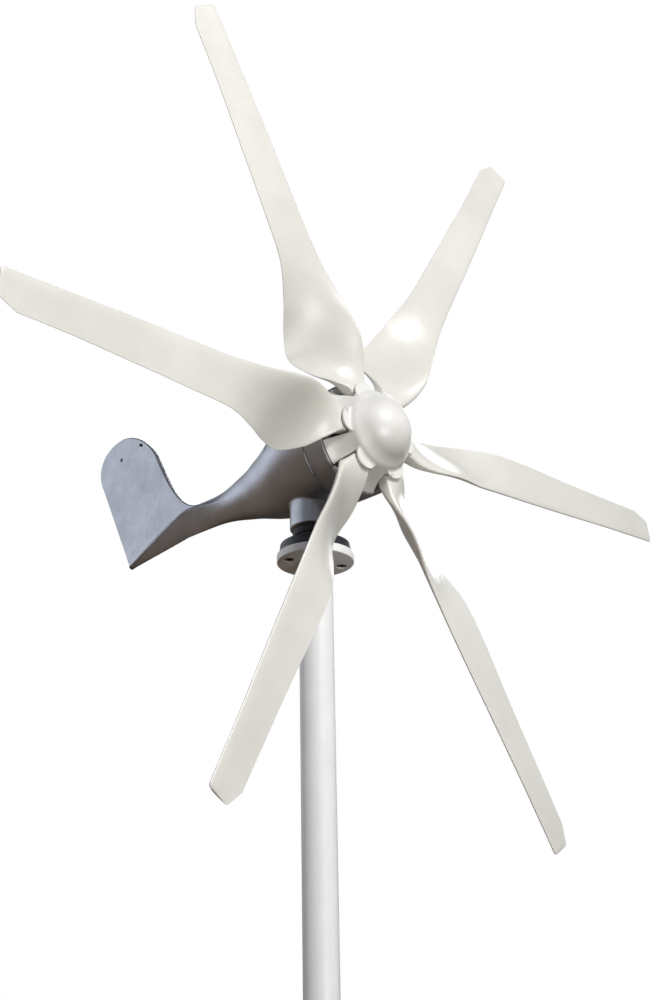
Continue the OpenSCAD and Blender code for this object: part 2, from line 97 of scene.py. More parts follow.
def polygon(x, y, points):
    """Signed distance to a closed polygon."""
    pts = np.array(points, float)
    best = np.full(x.shape, 1e9)
    inside = np.zeros(x.shape, bool)
    for (ax, ay), (bx, by) in zip(pts, np.roll(pts, -1, 0)):
        ex, ey, wx, wy = bx - ax, by - ay, x - ax, y - ay
        t = np.clip((wx * ex + wy * ey) / (ex * ex + ey * ey), 0, 1)
        best = np.minimum(best, (wx - ex * t) ** 2 + (wy - ey * t) ** 2)
        if ey:
            crosses = (ay <= y) != (by <= y)
            inside ^= crosses & (x < ax + ex * (y - ay) / ey)
    return np.where(inside, -1, 1) * np.sqrt(best)


# ------------------------------------------------------------------ surface extraction
def sampled(shape, low, n, step, block=8):
    """shape on a grid of n points, worked out in full only in the blocks that the surface can reach."""
    values = np.empty(n, np.float32)
    blocks = np.stack(np.meshgrid(*[np.arange(c // block) for c in n], indexing="ij"), -1).reshape(-1, 3)
    centre = shape(low + (blocks * block + (block - 1) / 2) * step)
    reach = step * block * 0.87 * 1.35
    inner = np.stack(np.meshgrid(*[np.arange(block)] * 3, indexing="ij"), -1).reshape(-1, 3)
    tiled = values.reshape(n[0] // block, block, n[1] // block, block, n[2] // block, block)
    tiled = tiled.transpose(0, 2, 4, 1, 3, 5)
    far = np.abs(centre) > reach
    b = blocks[far]
    tiled[b[:, 0], b[:, 1], b[:, 2]] = np.sign(centre[far])[:, None, None, None]
    near = blocks[~far]
    for i in range(0, len(near), 600):
        b = near[i:i + 600]
        points = low + (b[:, None] * block + inner) * step
        got = shape(points.reshape(-1, 3)).reshape(-1, block, block, block)
        tiled[b[:, 0], b[:, 1], b[:, 2]] = got
    return values


def net(values):
    """Net of the grid's zero surface: a point in each crossed cell, a face across each crossed edge."""
    inside = values < 0
    cells = np.zeros((values.size, 4))
    stride = np.array([values.shape[1] * values.shape[2], values.shape[2], 1])
    quads = []
    for a in range(3):
        first = [slice(None)] * 3
        second = [slice(None)] * 3
        first[a], second[a] = slice(0, -1), slice(1, None)
        edge = np.argwhere(inside[tuple(first)] != inside[tuple(second)])
        after = edge.copy()
        after[:, a] += 1
        v0, v1 = values[tuple(edge.T)].astype(float), values[tuple(after.T)].astype(float)
        point = edge.astype(float)
        point[:, a] += v0 / (v0 - v1)
        u, w = (a + 1) % 3, (a + 2) % 3
        corner = []
        for du, dw in ((0, 0), (1, 0), (1, 1), (0, 1)):
            c = edge.copy()
            c[:, u] -= du
            c[:, w] -= dw
            corner.append(c @ stride)
            for k in range(3):
                cells[:, k] += np.bincount(corner[-1], point[:, k], len(cells))
            cells[:, 3] += np.bincount(corner[-1], minlength=len(cells))
        quad = np.stack(corner, 1)
        quad[v0 < 0] = quad[v0 < 0][:, ::-1]
        quads.append(quad[:, ::-1])
    quads = np.vstack(quads)
    used, faces = np.unique(quads, return_inverse=True)
    return cells[used, :3] / cells[used, 3:], faces.reshape(-1, 4)


def extract(shape, low, high, step, block=8):
    """Closed quad mesh of the zero surface of shape(points), relaxed and pulled onto the surface."""
    low = np.array(low, float)
    n = np.ceil((np.array(high, float) - low) / step).astype(int) + 1
    n = (-(-n // block) * block).astype(int)
    points, faces = net(sampled(shape, low, n, step, block))
    points = low + points * step
    sides = np.unique(np.sort(np.vstack([faces[:, [i, (i + 1) % 4]] for i in range(4)]), 1), axis=0)
    count = np.bincount(sides.ravel(), minlength=len(points))[:, None]
    for _ in range(5):
        points = pulled(shape, points, step)
        middle = np.stack([np.bincount(sides[:, 0], points[sides[:, 1], k], len(points))
                           + np.bincount(sides[:, 1], points[sides[:, 0], k], len(points))
                           for k in range(3)], 1) / count
        points += (middle - points) * 0.5
    return pulled(shape, pulled(shape, points, step), step), faces


def gradient(shape, points, e=0.04):
    """Slope of the distance in each direction, from a step of e to either side."""
    g = np.empty_like(points)
    for k in range(3):
        d = np.zeros(3)
        d[k] = e
        g[:, k] = (shape(points + d) - shape(points - d)) / (2 * e)
    return g


def pulled(shape, points, step):
    """The points moved towards the zero surface, by less than a grid step."""
    g = gradient(shape, points)
    move = -g * (shape(points) / np.maximum((g * g).sum(1), 0.05))[:, None]
    length = np.linalg.norm(move, axis=1)[:, None]
    return points + move * np.minimum(1, 0.6 * step / np.maximum(length, 1e-9))


def add(name, points, faces, body, slot, replaces=(), normals=None):
    """A piece from points in millimetres in the row frame."""
    mesh = bpy.data.meshes.new(name)
    mesh.from_pydata((np.asarray(points) * MM).tolist(), [], [list(map(int, f)) for f in faces])
    mesh.validate()
    mesh.shade_smooth()
    if normals is not None:
        mesh.normals_split_custom_set_from_vertices(normals.tolist())
    piece = bpy.data.objects.new(name, mesh)
    bpy.context.scene.collection.objects.link(piece)
    mesh.materials.append(MATERIALS[slot])
    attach(piece, body)
    for node in replaces:
        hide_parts(node)
    return piece


def sculpt(name, shape, low, high, step, place, body, slot, replaces=()):
    """A piece from a distance function in a box, with exact normals, put in its place by place()."""
    points, faces = extract(shape, low, high, step)
    g = gradient(shape, points)
    normals = place(g) - place(np.zeros((1, 3)))
    normals /= np.linalg.norm(normals, axis=1)[:, None]
    return add(name, place(points), faces, body, slot, replaces, normals)


# ------------------------------------------------------------------ materials
def material(slot, colour, rough, metal=0.0, mottle=0.06, mottle_size=0.05, grain=0.0, grain_size=0.0006,
             rough_spread=0.06, tint=None, coat=0.0, streak=0.0, specular=None):
    """Procedural finish: colour mottled at two scales, varying roughness, and a fine grain in the bump."""
    m = bpy.data.materials.new(slot)
    m.use_nodes = True
    t = m.node_tree
    n, link = t.nodes, t.links.new
    shader = n["Principled BSDF"]
    shader.inputs["Metallic"].default_value = metal
    shader.inputs["Coat Weight"].default_value = coat
    shader.inputs["Coat Roughness"].default_value = 0.25
    if specular is not None:
        shader.inputs["Specular IOR Level"].default_value = specular
    where = n.new("ShaderNodeTexCoord").outputs["Object"]

    def noise(size, detail, rough_=0.55, stretch=None):
        source = where
        if stretch:
            mapping = n.new("ShaderNodeMapping")
            mapping.inputs["Scale"].default_value = stretch
            link(where, mapping.inputs["Vector"])
            source = mapping.outputs["Vector"]
        made = n.new("ShaderNodeTexNoise")
        made.inputs["Scale"].default_value = 1 / size
        made.inputs["Detail"].default_value = detail
        made.inputs["Roughness"].default_value = rough_
        link(source, made.inputs["Vector"])
        return made.outputs["Fac"]

    def ramp(value, stops, colours):
        made = n.new("ShaderNodeValToRGB")
        made.color_ramp.elements[0].position, made.color_ramp.elements[1].position = stops
        for e, c in zip(made.color_ramp.elements, colours):
            e.color = (*c, 1)
        link(value, made.inputs["Fac"])
        return made.outputs["Color"]

    def mix(kind, amount, a, b):
        made = n.new("ShaderNodeMix")
        made.data_type, made.blend_type = "RGBA", kind
        if hasattr(amount, "is_linked"):
            link(amount, made.inputs["Factor"])
        else:
            made.inputs["Factor"].default_value = amount
        link(a, made.inputs["A"])
        link(b, made.inputs["B"])
        return made.outputs["Result"]

    c = np.array(colour)
    other = np.array(tint) if tint is not None else c
    dark, light = tuple(c * (1 - mottle)), tuple(np.minimum(other * (1 + mottle), 1))
    shade = ramp(noise(mottle_size, 4), (0.3, 0.7), (dark, light))
    speck = ramp(noise(mottle_size / 25, 3), (0.25, 0.75), ((1 - mottle * 0.7,) * 3, (1, 1, 1)))
    shade = mix("MULTIPLY", 1.0, shade, speck)
    if streak:
        run = ramp(noise(0.012, 5, 0.6, (1, 1, 0.12)), (0.35, 0.65), ((1 - streak,) * 3, (1, 1, 1)))
        shade = mix("MULTIPLY", 1.0, shade, run)
    link(shade, shader.inputs["Base Color"])
    rough_map = n.new("ShaderNodeMapRange")
    rough_map.inputs["From Min"].default_value, rough_map.inputs["From Max"].default_value = 0.3, 0.7
    rough_map.inputs["To Min"].default_value = max(0.03, rough - rough_spread)
    rough_map.inputs["To Max"].default_value = min(1.0, rough + rough_spread)
    link(noise(mottle_size / 4, 5), rough_map.inputs["Value"])
    link(rough_map.outputs["Result"], shader.inputs["Roughness"])
    if grain:
        bump = n.new("ShaderNodeBump")
        bump.inputs["Strength"].default_value = grain
        bump.inputs["Distance"].default_value = 0.0004
        link(noise(grain_size, 3, 0.6), bump.inputs["Height"])
        link(bump.outputs["Normal"], shader.inputs["Normal"])
    return m


MATERIALS = {slot: material(slot, **finish) for slot, finish in {
    "blade_nylon": dict(colour=(0.74, 0.725, 0.66), rough=0.34, mottle=0.035, mottle_size=0.09, grain=0.12,
                        tint=(0.76, 0.745, 0.69), coat=0.15),
    "spinner_plastic": dict(colour=(0.78, 0.765, 0.725), rough=0.33, mottle=0.03, mottle_size=0.04,
                            grain=0.16, tint=(0.82, 0.805, 0.765), coat=0.12),
    "casting_paint": dict(colour=(0.40, 0.415, 0.45), rough=0.34, metal=0.88, mottle=0.09, mottle_size=0.05,
                          grain=0.4, grain_size=0.0011, tint=(0.42, 0.43, 0.46)),
    "cover_paint": dict(colour=(0.40, 0.395, 0.405), rough=0.4, metal=0.5, mottle=0.08, mottle_size=0.03,
                        grain=0.4, grain_size=0.0011),
    "base_paint": dict(colour=(0.035, 0.038, 0.045), rough=0.42, metal=0.3, mottle=0.08, mottle_size=0.03,
                       grain=0.3, grain_size=0.0009),
    "hub_metal": dict(colour=(0.04, 0.04, 0.042), rough=0.5, metal=0.4, mottle=0.1, mottle_size=0.02,
                      grain=0.3),
    "mast_metal": dict(colour=(0.90, 0.90, 0.89), rough=0.33, metal=0.0, mottle=0.03, mottle_size=0.06,
                       grain=0.15, grain_size=0.0014, streak=0.03, coat=0.25),
    "fastener_steel": dict(colour=(0.55, 0.56, 0.57), rough=0.3, metal=1.0, mottle=0.08, mottle_size=0.006,
                           grain=0.2, grain_size=0.0003),
    "dark_fastener": dict(colour=(0.06, 0.06, 0.065), rough=0.38, metal=0.8, mottle=0.12, mottle_size=0.005,
                          grain=0.2, grain_size=0.0003),
    "bearing_steel": dict(colour=(0.62, 0.63, 0.65), rough=0.14, metal=1.0, mottle=0.04, mottle_size=0.01,
                          rough_spread=0.04),
    "shaft_steel": dict(colour=(0.5, 0.51, 0.53), rough=0.25, metal=1.0, mottle=0.06, mottle_size=0.01,
                        grain=0.15, grain_size=0.0003),
    "lamination_steel": dict(colour=(0.07, 0.075, 0.08), rough=0.5, metal=0.6, mottle=0.15, mottle_size=0.01,
                             grain=0.4, grain_size=0.0006),
    "magnet_nickel": dict(colour=(0.6, 0.6, 0.58), rough=0.18, metal=1.0, mottle=0.05, mottle_size=0.01),
    "copper_enamel": dict(colour=(0.36, 0.11, 0.035), rough=0.25, metal=0.7, mottle=0.15, mottle_size=0.004,
                          grain=0.6, grain_size=0.0008, coat=0.4),
    "ring_copper": dict(colour=(0.6, 0.3, 0.14), rough=0.25, metal=1.0, mottle=0.08, mottle_size=0.008),
    "rubber_black": dict(colour=(0.018, 0.018, 0.02), rough=0.6, mottle=0.15, mottle_size=0.01, grain=0.3,
                         grain_size=0.0005),
    "holder_resin": dict(colour=(0.13, 0.03, 0.02), rough=0.4, mottle=0.15, mottle_size=0.008, grain=0.2),
    "insulator_resin": dict(colour=(0.62, 0.56, 0.42), rough=0.45, mottle=0.06, mottle_size=0.01, grain=0.2),
    "brush_carbon": dict(colour=(0.02, 0.02, 0.02), rough=0.55, mottle=0.2, mottle_size=0.003, grain=0.5),
    "lead_black": dict(colour=(0.016, 0.016, 0.017), rough=0.4, mottle=0.1, mottle_size=0.01, grain=0.1),
    "lead_red": dict(colour=(0.35, 0.02, 0.012), rough=0.4, mottle=0.1, mottle_size=0.01, grain=0.1),
}.items()}
for part in frame["record"]["subparts"]:
    node = frame["nodes"][part["node"]]
    node.data.materials.clear()
    node.data.materials.append(MATERIALS[part["material_slot"]])


# ------------------------------------------------------------------ spinner
def sectored(x, y, phase=PHASE):
    """x and y folded into the nearest of the six blade sectors, with the blade along +y."""
    angle = np.arctan2(-x, y) - math.radians(phase)
    k = np.round(angle / math.radians(60))
    turn = np.radians(phase) + k * math.radians(60)
    c, s = np.cos(turn), np.sin(turn)
    return x * c + y * s, -x * s + y * c, k.astype(int) % 6


SLOT = [(14, 20), (14, 47), (21.5, SKIRT_R + 6), (-28, SKIRT_R + 6), (-17, 52), (-16, 20)]
SKIRT = [(0, -60), (SKIRT_R + 3.2, -60), (SKIRT_R + 3.2, -44.9), (SKIRT_R, SKIRT_A), (SKIRT_R - 7, -34),
         (54, -14), (49.4, -7), (40, -7), (0, -7)]


def spinner(p):
    """Dome running into a flared skirt, slotted for the blades, with a round tab over each blade's root."""
    x, y, a = p[:, 0], p[:, 1], p[:, 2]
    rho = np.hypot(x, y)
    dome = np.hypot(rho, a - DOME_A) - DOME_R
    flare = polygon(rho, a, SKIRT)
    skin = union(dome, flare, 20)
    shell = both(skin, -(skin + WALL), 0.7)
    shell = both(shell, SKIRT_A - a, 0.8)
    bx, by, k = sectored(x, y)
    slot = np.maximum(polygon(bx, by, SLOT), a - (TAB_A - 4))
    shell = cut(shell, slot, 0.9)
    plan = both(np.abs(bx) - 17, np.where(by > 48, np.hypot(bx, by - 48), np.abs(bx)) - 20, 4)
    tab = both(both(plan, np.abs(a - TAB_A + 2) - 2, 1.1), 30 - by, 1)
    tab = np.maximum(tab, -(dome + WALL))
    body = union(shell, tab, 4)
    screwed = (k % 2) == 1
    hole = np.hypot(bx - 11, by - 60)
    sink = np.minimum(hole - 1.8, np.maximum(hole - 2.3, TAB_A - 1.5 - a))
    return np.where(screwed, both(body, -sink, 0.2), body)


sculpt("spinner_cap", spinner, (-80, -80, -44), (80, 80, 38), 1.0, from_rotor, "rotor", "spinner_plastic",
       ["spinner"])


# ------------------------------------------------------------------ blades
# radius, leading edge (tangential, axial), trailing edge (the same), thickness, 0 block .. 1 aerofoil
BLADE = np.array([
    (26.5, -13, -21, 13, -21, 19.2, 0), (50, -13, -21, 14.5, -21, 19.2, 0),
    (66, -17.5, -21, 18.5, -21, 19.2, 0),
    (82, -25, -15, 28, -29, 16, 0.45), (102, -29, -6, 41, -47, 13, 0.85), (130, -29, 2, 47.5, -66, 11, 1),
    (160, -26, 1, 46.5, -60, 10, 1), (200, -23.5, -5, 46, -39, 8.5, 1), (250, -19, -8, 46, -18, 7.5, 1),
    (310, -16, -7, 46, -12, 7, 1), (400, -12, -3.5, 44, -9, 6, 1), (500, -6.5, -0.5, 43, -5, 5.5, 1),
    (600, -2, 1.5, 44, -3, 4.5, 1)])
TIP = 600.0
BOLT_RADII = (34, 54)


def smooth(table, x, column):
    """Hermite curve through one column of a station table."""
    at = table[:, 0]
    i = int(np.clip(np.searchsorted(at, x) - 1, 0, len(at) - 2))

    def slope(k):
        a, b = max(k - 1, 0), min(k + 1, len(at) - 1)
        return (table[b, column] - table[a, column]) / (at[b] - at[a])
    h = at[i + 1] - at[i]
    u = (x - at[i]) / h
    return (table[i, column] * (1 + 2 * u) * (1 - u) ** 2 + slope(i) * h * u * (1 - u) ** 2
            + table[i + 1, column] * u * u * (3 - 2 * u) + slope(i + 1) * h * u * u * (u - 1))


def blade_ring(r, half_n=30):
    """The blade's section at radius r, closing to a rounded end in the last 5 mm."""
    lead = np.array([smooth(BLADE, r, 1), smooth(BLADE, r, 2)])
    trail = np.array([smooth(BLADE, r, 3), smooth(BLADE, r, 4)])
    chord = trail - lead
    shaved = min(max((r - (TIP - 27)) / 27, 0), 1)
    end = 1 - math.sqrt(max(0, 1 - (max(r - (TIP - 5), 0) / 5.05) ** 2))
    lead = lead + chord * 0.1 * end
    trail = trail - chord * (0.25 * shaved + 0.08 * end)
    thick = smooth(BLADE, r, 5) * (1 - 0.7 * end)
    s = min(max(smooth(BLADE, r, 6), 0), 1)
    chord = trail - lead
    width = math.hypot(*chord)
    normal = np.array([chord[1], -chord[0]]) / width
    x = (1 - np.cos(np.pi * np.arange(half_n + 1) / half_n)) / 2
    block = 0.5 * np.maximum(0, 1 - np.abs(2 * x - 1) ** 6) ** (1 / 6)
    foil = 5 * (0.2969 * np.sqrt(x) - 0.126 * x - 0.3516 * x ** 2 + 0.2843 * x ** 3 - 0.1 * x ** 4)
    half = (block + (foil - block) * s) * thick + 0.25
    camber = s * 0.128 * x * (1 - x) * width
    upper = lead + chord * x[:, None] + normal * (camber + half)[:, None]
    lower = lead + chord * x[:, None] + normal * (camber - half)[:, None]
    ring = np.vstack([upper, lower[-2:0:-1]])
    return np.stack([-ring[:, 0], np.full(len(ring), r), ring[:, 1]], 1)


def loft(rings):
    """Closed mesh through rings with the same number of points."""
    n = len(rings[0])
    faces = [tuple(range(n))[::-1]]
    for i in range(len(rings) - 1):
        for j in range(n):
            k = (j + 1) % n
            faces.append((i * n + j, i * n + k, (i + 1) * n + k, (i + 1) * n + j))
    faces.append(tuple((len(rings) - 1) * n + j for j in range(n)))
    return np.vstack(rings), faces


BLADE_R = np.concatenate([np.linspace(26.5, 60, 8)[:-1], np.linspace(60, 135, 34)[:-1],
                          np.linspace(135, 260, 26)[:-1], np.linspace(260, TIP - 27, 28)[:-1],
                          np.linspace(TIP - 27, TIP - 5, 6)[:-1],
                          TIP - 5 * np.cos(np.linspace(0, np.pi / 2, 7))])


def cutter(spots):
    """Cylinders along z as one mesh: x, y, radius, low, high."""
    points, faces = [], []
    for x, y, r, z0, z1 in spots:
        base, n = len(points), 40
        for z in (z0, z1):
            points += [(x + r * math.cos(2 * math.pi * i / n), y + r * math.sin(2 * math.pi * i / n), z)
                       for i in range(n)]
        faces += [(base + i, base + (i + 1) % n, base + n + (i + 1) % n, base + n + i) for i in range(n)]
        faces += [tuple(base + i for i in range(n))[::-1], tuple(base + n + i for i in range(n))]
    mesh = bpy.data.meshes.new("cutter")
    mesh.from_pydata(points, [], faces)
    return mesh


def drilled(points, faces, spots):
    """The mesh with those holes cut out of it."""
    solid = bpy.data.meshes.new("solid")
    solid.from_pydata(points.tolist(), [], faces)
    first, second = (bpy.data.objects.new(n, m) for n, m in (("solid", solid), ("drill", cutter(spots))))
    for o in (first, second):
        bpy.context.scene.collection.objects.link(o)
    change = first.modifiers.new("holes", "BOOLEAN")
    change.operation, change.object, change.solver = "DIFFERENCE", second, "EXACT"
    bpy.context.view_layer.update()
    made = bpy.data.meshes.new_from_object(first.evaluated_get(bpy.context.evaluated_depsgraph_get()))
    got = np.array([v.co for v in made.vertices], float), [tuple(f.vertices) for f in made.polygons]
    for o in (first, second):
        bpy.data.objects.remove(o)
    return got


blade_points, blade_faces = loft([blade_ring(r) for r in BLADE_R])
blade_kinds = []
for screwed in (False, True):
    holes = [h for y in BOLT_RADII for h in ((0, y, 3.2, -60, 20), (0, y, 6, -18.5, 20))]
    if screwed:
        holes.append((11, 60, 1.63, -27, 20))
    blade_kinds.append(drilled(blade_points, blade_faces, holes))
for k in range(1, 7):
    points, faces = blade_kinds[k % 2 == 0]
    x, y = turned(points[:, 0], points[:, 1], -(PHASE + 60 * (k - 1)))
    piece = add(f"blade_{k}_moulding", from_rotor(np.stack([x, y, points[:, 2]], 1)), faces, "rotor",
                "blade_nylon", [f"blade_{k}"])
    piece.data.set_sharp_from_angle(angle=math.radians(38))


# ------------------------------------------------------------------ nacelle casting with boom and fin
# station y, centre height, half height, half width
HULL = np.array([
    (-54, 0, 77, 77), (-30, -0.5, 76, 75.5), (0, -3, 72.5, 70.5), (35, -8.2, 64, 59.5), (72, -13.3, 51, 45.5),
    (90, -14, 45, 39.5), (111, -14.6, 38, 31.5), (134, -14.8, 32.3, 25.5), (157, -14.8, 27.8, 20.5),
    (181, -15, 24.3, 17), (209, -15.2, 22.5, 14.2), (236, -15.4, 22.6, 12.6), (262, -17, 22, 11.5),
    (300, -29, 16, 9.5), (345, -42, 8, 7), (391, -51, 4, 5)])
FIN_HALF = 4.5


def bezier(a, b, c, d, n):
    """n points along a cubic curve, without its first point."""
    u = np.linspace(0, 1, n + 1)[1:, None]
    a, b, c, d = (np.array(v, float) for v in (a, b, c, d))
    return ((1 - u) ** 3 * a + 3 * u * (1 - u) ** 2 * b + 3 * u * u * (1 - u) * c + u ** 3 * d).tolist()


FIN = ([(225, -10), (300, -20), (345, -35), (390, -47.5), (461, 100)]
       + bezier((461, 100), (483, 133), (469, 174), (415, 174), 14)
       + bezier((415, 174), (386, 172), (352, 148), (336, 121), 10)
       + bezier((336, 121), (313, 78), (281, 14), (238, 6.5), 18))
ALONG = np.linspace(SEAM_Y - 3, 391, 500)
HULL_AT = np.array([[smooth(HULL, y, c) for c in (1, 2, 3)] for y in np.maximum(ALONG, SEAM_Y)])


def boom(x, y, z, centre, tall, wide):
    """The oval hull turning into a keel, widest at a crease that runs down to the fin's rear corner."""
    turn = np.clip((y - 130) / 125, 0, 1)
    turn = turn * turn * (3 - 2 * turn)
    u = np.clip((y - 262) / 129, 0, 1)
    crease, low = -3 - 44.5 * u, -38.4 - 12.6 * u ** 0.9
    edge = 15 - 9.8 * u
    flare = np.interp(y, [130, 255, 300, 350, 391], [6, 11, 17, 15, 7])
    hidden = FIN_HALF - 1.5                       # half width where the flare ends inside the fin
    mid, under, over = (a + (b - a) * turn
                        for a, b in ((centre, crease), (tall, crease - low), (tall, flare)))

    def half(z):
        s = np.clip((z - mid) / np.where(z > mid, over, under), -1, 1)
        above, below = np.maximum(s, 0), np.maximum(-s, 0)
        keel = np.where(s > 0, hidden + (edge - hidden) * (1 - above) ** 1.5,
                        edge * (1 - 0.8 * below) * np.sqrt(1 - below ** 7) - 0.8 * below)
        oval = wide * np.sqrt(1 - s * s)
        return oval + (keel - oval) * turn

    slope = (half(z + 0.4) - half(z - 0.4)) / 0.8
    past = np.maximum(z - mid - over, mid - under - z)
    side = (np.abs(x) - half(z)) / np.hypot(1, slope) + np.maximum(past, 0)
    return both(both(side, past - 3 * (1 - turn), 1.5), y - 391, 1)


def casting(p):
    """Hull, boom, fin and neck in one casting, bored for the generator and the yaw bearings."""
    x, y, z = p[:, 0], p[:, 1], p[:, 2]
    centre, tall, wide = (np.interp(y, ALONG, HULL_AT[:, c]) for c in range(3))
    dz = z - centre
    k1 = np.hypot(x / wide, dz / tall)
    k2 = np.hypot(x / wide ** 2, dz / tall ** 2)
    hull = np.where(k2 > 1e-9, k1 * (k1 - 1) / np.maximum(k2, 1e-9), -wide) * 0.9
    spigot = np.maximum(np.hypot(x, z) - 75, np.maximum(SEAM_Y - y, y - SEAM_Y - 12))
    hull = np.minimum(both(hull, SEAM_Y + 2 - y, 0.8), spigot)
    hull = np.where(y > 130, boom(x, y, z, centre, tall, wide), hull)
    fin = both(polygon(y, z, FIN), np.abs(x) - FIN_HALF, 2.2)
    hull = union(hull, fin, 1.5)
    r = np.hypot(x, y)
    neck = both(np.maximum(r - 33.5, (r - 33.5 - z - 103.5) * 0.71), np.maximum(-106 - z, z + 40), 0.8)
    hull = union(hull, neck, 2)
    ring = np.hypot(x, z)
    # bores for the rear plate, the stator and the space behind it
    bore = np.minimum(np.maximum(ring - 66, y - (81 - OFFSET)), np.maximum(ring - 64, y - (95 - OFFSET)))
    bore = np.minimum(bore, np.maximum(ring - 56, y - (168 - OFFSET)))
    tube = np.maximum(r - 31, np.maximum(-70 - z, z + 34))
    hull = np.minimum(both(hull, -bore, 0.6), tube)
    shaft = np.minimum(np.maximum(r - 23.5, z + 92), np.maximum(r - 21, np.maximum(-94 - z, z + 47)))
    shaft = np.minimum(shaft, np.maximum(r - 23.5, np.maximum(-48 - z, z + 20)))
    hull = cut(hull, shaft, 0.6)
    hole = np.hypot(y - 418, z - 138) - 2.5
    sy, sz = turned(y - 371, z - 148, 35)
    notch = both(np.abs(sy) - 4, np.abs(sz) - 1.5, 0.6)
    return cut(hull, np.minimum(hole, notch), 0.5)


sculpt("nacelle_body", casting, (-82, SEAM_Y - 4, -110), (82, 494, 180), 1.5, from_axis, "nacelle",
       "casting_paint", ["nacelle_casting"])


# ------------------------------------------------------------------ cover, flange, yaw base and mast
def cover(p):
    """Cover plate with a turned edge, hollow behind, with six countersunk screw holes."""
    x, y, a = p[:, 0], p[:, 1], p[:, 2]
    rho = np.hypot(x, y)
    disc = both(rho - RING_R, np.maximum((rho - RING_R + a - COVER_A + 3) * 0.71, SEAM_A - a), 0.9)
    disc = both(disc, a - COVER_A, 0.7)
    inner = polygon(rho, a, [(29, COVER_A - 6.5), (63, COVER_A - 6.5), (63, -63), (66, -63),
                             (66, SEAM_A - 20), (-90, SEAM_A - 20), (-90, -63), (29, -63)])
    hub = np.minimum(rho - 13, np.maximum(rho - 18, -48 - a))                       # shaft hole and seal seat
    hub = np.minimum(hub, np.maximum(rho - 23.5, np.maximum(a + 49, -64 - a)))      # front bearing seat
    body = cut(both(disc, -inner, 0.6), hub, 0.6)
    angle = np.arctan2(y, x) - math.radians(15)
    angle -= np.round(angle / math.radians(60)) * math.radians(60)
    hole = np.hypot(rho * np.cos(angle) - 71.5, rho * np.sin(angle))
    return cut(body, np.minimum(hole - 2.7, np.maximum(hole - 4.6, COVER_A - 5 - a)), 0.4)


sculpt("generator_cover", cover, (-80, -80, SEAM_A - 3), (80, 80, COVER_A + 3), 1.0, from_rotor, "nacelle",
       "cover_paint", ["front_cover"])

low_flange, high_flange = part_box("mast_flange")
FLANGE_R = (high_flange.x - low_flange.x) / 2 / MM
FLANGE_LOW, FLANGE_TOP = low_flange.z / MM, high_flange.z / MM
CIRCLE, FIRST_SCREW = 37.0, 66.0


def quartered(x, y):
    """Distance from the nearest of the four screw axes."""
    rho, angle = np.hypot(x, y), np.arctan2(y, x) - math.radians(FIRST_SCREW)
    angle -= np.round(angle / (math.pi / 2)) * (math.pi / 2)
    return np.hypot(rho * np.cos(angle) - CIRCLE, rho * np.sin(angle))


def flange(p):
    """Round plate with a cable hole and four screw holes that are counterbored from below."""
    x, y, z = p.T
    rho, hole = np.hypot(x, y), quartered(x, y)
    middle, half = (FLANGE_LOW + FLANGE_TOP) / 2, (FLANGE_TOP - FLANGE_LOW) / 2
    plate = both(rho - FLANGE_R, np.abs(z - middle) - half, 1.3)
    plate = cut(plate, rho - 15, 0.6)
    return cut(plate, np.minimum(hole - 4.3, np.maximum(hole - 7.2, z - FLANGE_LOW - 7.7)), 0.7)


sculpt("mast_flange_plate", flange, (-55, -55, FLANGE_LOW - 3), (55, 55, FLANGE_TOP + 3), 1.1, lambda p: p,
       "mast", "mast_metal", ["mast_flange"])


def yaw_base(p):
    """Disc with a boss and the stepped hollow spindle of the yaw bearings, tapped from below."""
    x, y, z = p.T
    z = z - AXIS_Z
    rho = np.hypot(x, y)
    disc = polygon(rho, z, [(0, -139), (46.2, -139), (47, -138.2), (45.6, -127.4), (45.1, -127),
                            (0, -127)]) - 1
    boss = both(rho - 29.5, np.abs(z + 122) - 5, 1)
    post = np.minimum(both(rho - 15.5, np.maximum(-130 - z, z + 104), 0.5),
                      np.minimum(both(rho - 12.5, np.maximum(-130 - z, z + 24), 0.5),
                                 both(rho - 11, np.maximum(-130 - z, z - 8), 0.8)))
    body = cut(np.minimum(union(disc, boss, 1.5), post), rho - 8, 0.6)
    return cut(body, np.maximum(quartered(x, y) - 4.05, z + 128), 0.4)


sculpt("yaw_disc", yaw_base, (-52, -52, AXIS_Z - 143), (52, 52, AXIS_Z + 11), 1.1, lambda p: p, "mast",
       "base_paint", ["yaw_base"])


def turned_shape(profile, n=96):
    """Closed ring of faces from a profile of (radius, height) corners, in order round it."""
    points = [(r * math.cos(2 * math.pi * i / n), r * math.sin(2 * math.pi * i / n), z)
              for i in range(n) for r, z in profile]
    m = len(profile)
    faces = [(i * m + j, (i + 1) % n * m + j, (i + 1) % n * m + (j + 1) % m, i * m + (j + 1) % m)
             for i in range(n) for j in range(m)]
    return np.array(points), faces


def rounded(corners, r, steps=4):
    """Profile with each corner rounded."""
    c = [np.array(v, float) for v in corners]
    out = []
    for i, here in enumerate(c):
        a, b = c[i - 1] - here, c[(i + 1) % len(c)] - here
        la, lb = np.linalg.norm(a), np.linalg.norm(b)
        reach = min(r, la * 0.45, lb * 0.45)
        a, b = here + a / la * reach, here + b / lb * reach
        for u in np.linspace(0, 1, steps + 1):
            out.append(tuple((1 - u) ** 2 * a + 2 * u * (1 - u) * here + u * u * b))
    return out


